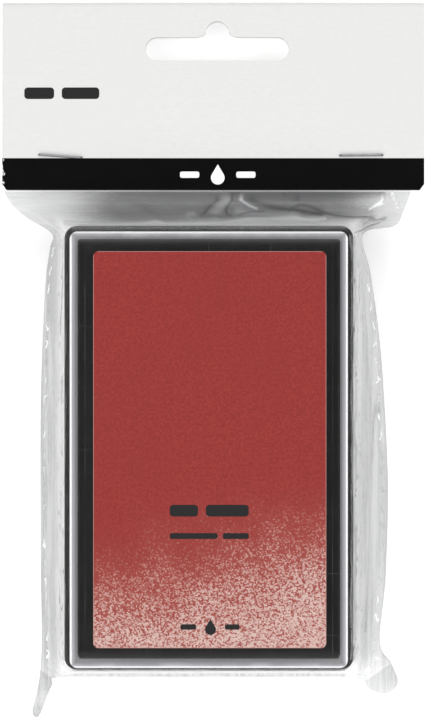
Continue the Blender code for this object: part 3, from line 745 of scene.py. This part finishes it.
def film_piece(name, half_w, half_l, radius, face_z, side):
    """One film, from the middle of its flat face down its slope to the weld and out to its edge."""
    points, haze, tone = film_points(half_w, half_l, radius, face_z, side)
    edge_start = len(points) - FILM_POINTS
    build = bmesh.new()
    verts = [build.verts.new(Vector(p) * MM) for p in points]
    build.verts.ensure_lookup_table()
    rings = edge_start // FILM_POINTS
    for face in [*rings_to_faces(rings, FILM_POINTS), tuple(range(FILM_POINTS))]:
        build.faces.new([verts[i] for i in face])
    fill_fringe(build, verts, edge_start)
    inside_card = mouth_rows(build, verts, edge_start, side)
    fringe = [0.0] * edge_start + [1.0] * FILM_POINTS + [0.0] * inside_card
    looks = (haze + [CARD_HAZE] * inside_card, tone + [CARD_TONE] * inside_card, fringe)
    for label, values in zip(FILM_LAYERS, looks):
        layer = build.verts.layers.float.new(label)
        for vert, value in zip(build.verts, values):
            vert[layer] = value
    bmesh.ops.remove_doubles(build, verts=build.verts, dist=0.004 * MM)
    bmesh.ops.recalc_face_normals(build, faces=build.faces)
    mesh = bpy.data.meshes.new(name)
    build.to_mesh(mesh)
    build.free()
    mesh.shade_smooth()
    obj = bpy.data.objects.new(name, mesh)
    bpy.context.scene.collection.objects.link(obj)
    return obj


def mouth_rows(build, verts, edge_start, side):
    """The stretch of film that runs on between the card's leaves; gives how many points it adds."""
    first = ROUND_POINTS - 1
    row = [verts[edge_start + (first + i) % FILM_POINTS] for i in range(CARD_POINTS + 2)]
    for step in MOUTH_STEPS:
        upper = []
        for low in row:
            x, y = low.co.x / MM, POUCH_EDGE[0][1] + step
            z = SEAM_Z + side * (FILM_PLY + 0.04 * (1 + wave(x, y, 6, 71.0)))
            upper.append(build.verts.new(Vector((x, y, z)) * MM))
        for i in range(len(row) - 1):
            build.faces.new((row[i], row[i + 1], upper[i + 1], upper[i]))
        row = upper
    return len(MOUTH_STEPS) * len(row)


def make_pouch():
    film = film_finish()
    front = film_piece("front_film_sheet", LID_W / 2 + FILM_ROOM, LID_L / 2 + FILM_ROOM, LID_BEND,
                       LABEL_HI.z + OVER_LABEL, 1)
    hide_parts("bag_front_film", "bag_mouth_front")
    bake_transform(dress(front, film))
    back = film_piece("back_film_sheet", TRAY_HI.x + FILM_ROOM, TRAY_HI.y + FILM_ROOM, TRAY_BEND,
                      OFF_FLOOR, -1)
    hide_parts("bag_back_film")
    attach(dress(back, film), "root")


# ---------------------------------------------------------------- header card


HALF_GAP = 0.6                   # from the mid plane to the inside of each leaf
LEAF = HALF_GAP + CARD_T / 2     # and to its middle
FOLD_Y = CARD_HI.y - (HALF_GAP + CARD_T)
LEAF_LENGTH = FOLD_Y - CARD_LO.y
FOLD_LENGTH = math.pi * LEAF
SLOT_X, SLOT_Y, SLOT_W, SLOT_H = 1.75, 83.1, 29.8, 4.8
NOTCH_W, NOTCH_R, NOTCH_RISE = 6.4, 2.45, 3.3
CLIP = 1.6                # of the lower corners
STAPLE_Y = 60.8


def card_bow(x, y):
    """How far the card's leaves bend off their plane, nothing at the staples."""
    reach = (y - STAPLE_Y) / 32
    return 0.55 * reach * reach * math.cos((x - 6) / 24) + 0.10 * wave(x, y, 22, 5.0) * min(1, abs(reach) * 3)


def folded(x, v, w):
    """Where a point of the unrolled card ends up: v runs along it from the front leaf's lower edge."""
    if v <= LEAF_LENGTH:
        y, z = CARD_LO.y + v, LEAF + w
    elif v >= LEAF_LENGTH + FOLD_LENGTH:
        y, z = FOLD_Y - (v - LEAF_LENGTH - FOLD_LENGTH), -LEAF - w
    else:
        a = (v - LEAF_LENGTH) / LEAF
        y, z = FOLD_Y + (LEAF + w) * math.sin(a), (LEAF + w) * math.cos(a)
    return (x, y, SEAM_Z + z + card_bow(x, y))


def slot_shape():
    """The hanging slot's outline: round ends, and a round notch on flared shoulders above its middle."""
    r, half, flare = SLOT_H / 2, SLOT_W / 2, 1.0
    ends = [math.radians(-90 + 180 * step / 16) for step in range(17)]
    right = [(half - r + r * math.cos(a), r * math.sin(a)) for a in ends]
    shoulder = [(NOTCH_W / 2 + flare, r), (NOTCH_W / 2 - 0.2, r + 0.35)]
    middle = r + NOTCH_RISE - NOTCH_R
    notch = [(NOTCH_R * math.sin(-a), middle + NOTCH_R * math.cos(a)) for a in ends]
    left = [(-x, -y) for x, y in right]
    points = [*right, *shoulder, *notch, *((-x, y) for x, y in reversed(shoulder)), *left]
    return [(x + SLOT_X, y + SLOT_Y) for x, y in points]


def prism(name, outline, z0, z1):
    """An upright solid of one outline."""
    count = len(outline)
    points = [(x, y, z0) for x, y in outline] + [(x, y, z1) for x, y in outline]
    faces = [tuple(range(count)), tuple(range(count, 2 * count))]
    faces += [(i, (i + 1) % count, count + (i + 1) % count, count + i) for i in range(count)]
    return add_mesh(name, points, faces, smooth=False)


def unrolled_v(y, back):
    return LEAF_LENGTH + FOLD_LENGTH + FOLD_Y - y if back else y - CARD_LO.y


def unrolled_card():
    """The card as a flat slab before it is folded, with v along it."""
    total = 2 * LEAF_LENGTH + FOLD_LENGTH
    xs = np.linspace(CARD_LO.x, CARD_HI.x, 60)
    fold = np.linspace(LEAF_LENGTH, LEAF_LENGTH + FOLD_LENGTH, 13)
    leaf = np.linspace(0, LEAF_LENGTH, 30)[:-1]
    vs = np.concatenate([leaf, fold, total - leaf[::-1]])
    points, faces = [], []
    for w in (-CARD_T / 2, CARD_T / 2):
        points += [(x, v, w) for v in vs for x in xs]
    nx, nv = len(xs), len(vs)
    layer = nx * nv
    for j in range(nv - 1):
        for i in range(nx - 1):
            a = j * nx + i
            faces.append((a, a + nx, a + nx + 1, a + 1))
            faces.append((layer + a, layer + a + 1, layer + a + nx + 1, layer + a + nx))
    ring = [*range(nx)] + [j * nx + nx - 1 for j in range(1, nv)]
    ring += [(nv - 1) * nx + i for i in range(nx - 2, -1, -1)] + [j * nx for j in range(nv - 2, 0, -1)]
    for a, b in zip(ring, ring[1:] + ring[:1]):
        faces.append((a, b, layer + b, layer + a))
    return add_mesh("folded_card", points, faces)


def card_cutters():
    """What is punched out of each leaf: the hanging slot and the two clipped lower corners."""
    half = (CARD_HI.x - CARD_LO.x) / 2
    cutters = []
    for back in (False, True):
        outline = [(x, unrolled_v(y, back)) for x, y in slot_shape()]
        cutters.append(prism(f"slot_{back}", outline, -2, 2))
        for side in (-1, 1):
            x, foot = CARD_X + side * half, unrolled_v(CARD_LO.y, back)
            up = -1 if back else 1
            corner = [(x - side * CLIP, foot - up), (x + side, foot - up), (x + side, foot + up * (CLIP + 1))]
            cutters.append(prism(f"corner_{back}_{side}", corner, -2, 2))
    return cutters


def make_card():
    card = unrolled_card()
    cutters = card_cutters()
    for cutter in cutters:
        modifier = card.modifiers.new(cutter.name, "BOOLEAN")
        modifier.operation = "DIFFERENCE"
        modifier.object = cutter
    apply_modifiers(card)
    for cutter in cutters:
        bpy.data.objects.remove(cutter)
    for vert in card.data.vertices:
        vert.co = Vector(folded(*(vert.co / MM))) * MM
    card.data.shade_smooth()
    card.data.set_sharp_from_angle(angle=math.radians(35))
    dress(card, card_finish())
    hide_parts("header_card")
    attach(card, "root")


# ---------------------------------------------------------------- printed marks


def bar(x0, x1, y0, y1):
    outline = rounded_rectangle(x1 - x0, y1 - y0, min(x1 - x0, y1 - y0) * 0.3, steps=4)
    return [(x + (x0 + x1) / 2, y + (y0 + y1) / 2) for x, y in outline]


def drop(x, y, height):
    """A plain ink drop: round below, drawn to a point above."""
    r = height * 0.34
    points = [(x, y + height / 2)]
    for step in range(21):
        a = math.radians(145 + 250 * step / 20)
        points.append((x + r * math.cos(a), y - height / 2 + r + r * math.sin(a)))
    return points


def print_marks(name, outlines, height_at, colour, body):
    """Flat printed shapes lying on a face."""
    points, faces = [], []
    for outline in outlines:
        first = len(points)
        points += [(x, y, height_at(x, y)) for x, y in outline]
        faces.append(tuple(range(first, len(points))))
    marks = add_mesh(name, points, faces, smooth=False)
    dress(marks, ink_finish(f"{name}_ink", colour))
    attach(marks, body)


INK_LIFT = 0.02           # of the printed marks off the face that they lie on


def on_card(x, y):
    return SEAM_Z + LEAF + CARD_T / 2 + card_bow(x, y) + INK_LIFT


def on_label(x, y):
    return LABEL_HI.z + INK_LIFT


def make_marks():
    dark, light = (0.012, 0.011, 0.011), (0.80, 0.80, 0.78)
    print_marks("header_words", [bar(-38.4, -32.2, 72.7, 75.1), bar(-30.6, -22.8, 72.7, 75.1)],
                on_card, dark, "root")
    print_marks("band_mark", [bar(-6.0, -2.0, 56.3, 57.6), drop(1.85, 57.0, 4.2), bar(5.7, 9.7, 56.3, 57.6)],
                on_card, light, "root")
    print_marks("label_words", [
        bar(-8.0, -2.2, -13.7, -11.3), bar(-0.6, 8.2, -13.7, -11.3),
        bar(-8.0, 1.8, -18.3, -17.1), bar(2.9, 8.2, -18.3, -17.1),
    ], on_label, dark, "lid")
    print_marks("label_mark", [
        bar(-5.8, -2.6, -36.9, -35.8), drop(0.35, -36.35, 3.3), bar(3.3, 6.3, -36.9, -35.8),
    ], on_label, dark, "lid")


# ---------------------------------------------------------------- label and pad


LABEL_CORNER = 1.1        # radius
LABEL_EDGE = 0.04         # width and height of the bevel round its face


def label_outline(trim):
    width, length = LABEL_HI.x - LABEL_LO.x - 2 * trim, LABEL_HI.y - LABEL_LO.y - 2 * trim
    outline = rounded_rectangle(width, length, LABEL_CORNER - trim)
    return [(x + LABEL_X, y + LABEL_Y) for x, y in outline]


def make_label():
    outer, inner = label_outline(0.0), label_outline(LABEL_EDGE)
    bevel_z = LABEL_HI.z - LABEL_EDGE
    label = loft("printed_label", [(outer, LABEL_LO.z), (outer, bevel_z), (inner, LABEL_HI.z)])
    dress(label, label_finish())
    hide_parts("lid_label")
    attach(label, "lid")


PAD_CORNER = 1.6          # radius of the pad's corners seen from above
PAD_ROUND = 0.7           # radius of its upper edge
CROWN = 0.25              # how far its middle stands above that edge


def make_pad():
    """Cloth drawn over the foam: crowned, tight at its rim, with the brim under the frame."""
    top, low = COVER_HI.z, COVER_LO.z
    brim = rounded_rectangle(COVER_HI.x - COVER_LO.x, COVER_HI.y - COVER_LO.y, 1.0)
    rim_z = top - CROWN - PAD_ROUND
    rings = [(brim, low), (brim, low + 0.35), (rounded_rectangle(PAD_W, PAD_L, PAD_CORNER), low + 0.36)]
    for angle in (0, 22, 45, 68, 90):
        a = math.radians(angle)
        inset = PAD_ROUND * (1 - math.cos(a))
        outline = rounded_rectangle(PAD_W - 2 * inset, PAD_L - 2 * inset, PAD_CORNER - inset * 0.6)
        rings.append((outline, rim_z + PAD_ROUND * math.sin(a)))
    for inset, rise in ((2.5, 0.10), (6, 0.18), (12, 0.23), (20, CROWN)):
        outline = rounded_rectangle(PAD_W - 2 * inset, PAD_L - 2 * inset, 0.9)
        rings.append((outline, top - CROWN + rise))
    pad = loft("inked_pad", rings, angle=60)
    dress(pad, cloth_finish())
    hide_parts("pad_cover")
    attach(pad, "root")


def dress_frame_parts():
    tray, steel = tray_finish(), steel_finish()
    kept = {
        "base_tray": tray, "pad_frame": tray, "lid": lid_finish(), "foam_pad": foam_finish(),
        "foam_tape": tape_finish(), "staple_left": steel, "staple_right": steel,
    }
    for node, finish in kept.items():
        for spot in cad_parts[node].material_slots:
            spot.material = finish


make_camera()
make_studio()
dress_frame_parts()
make_pouch()
make_card()
make_marks()
make_label()
make_pad()
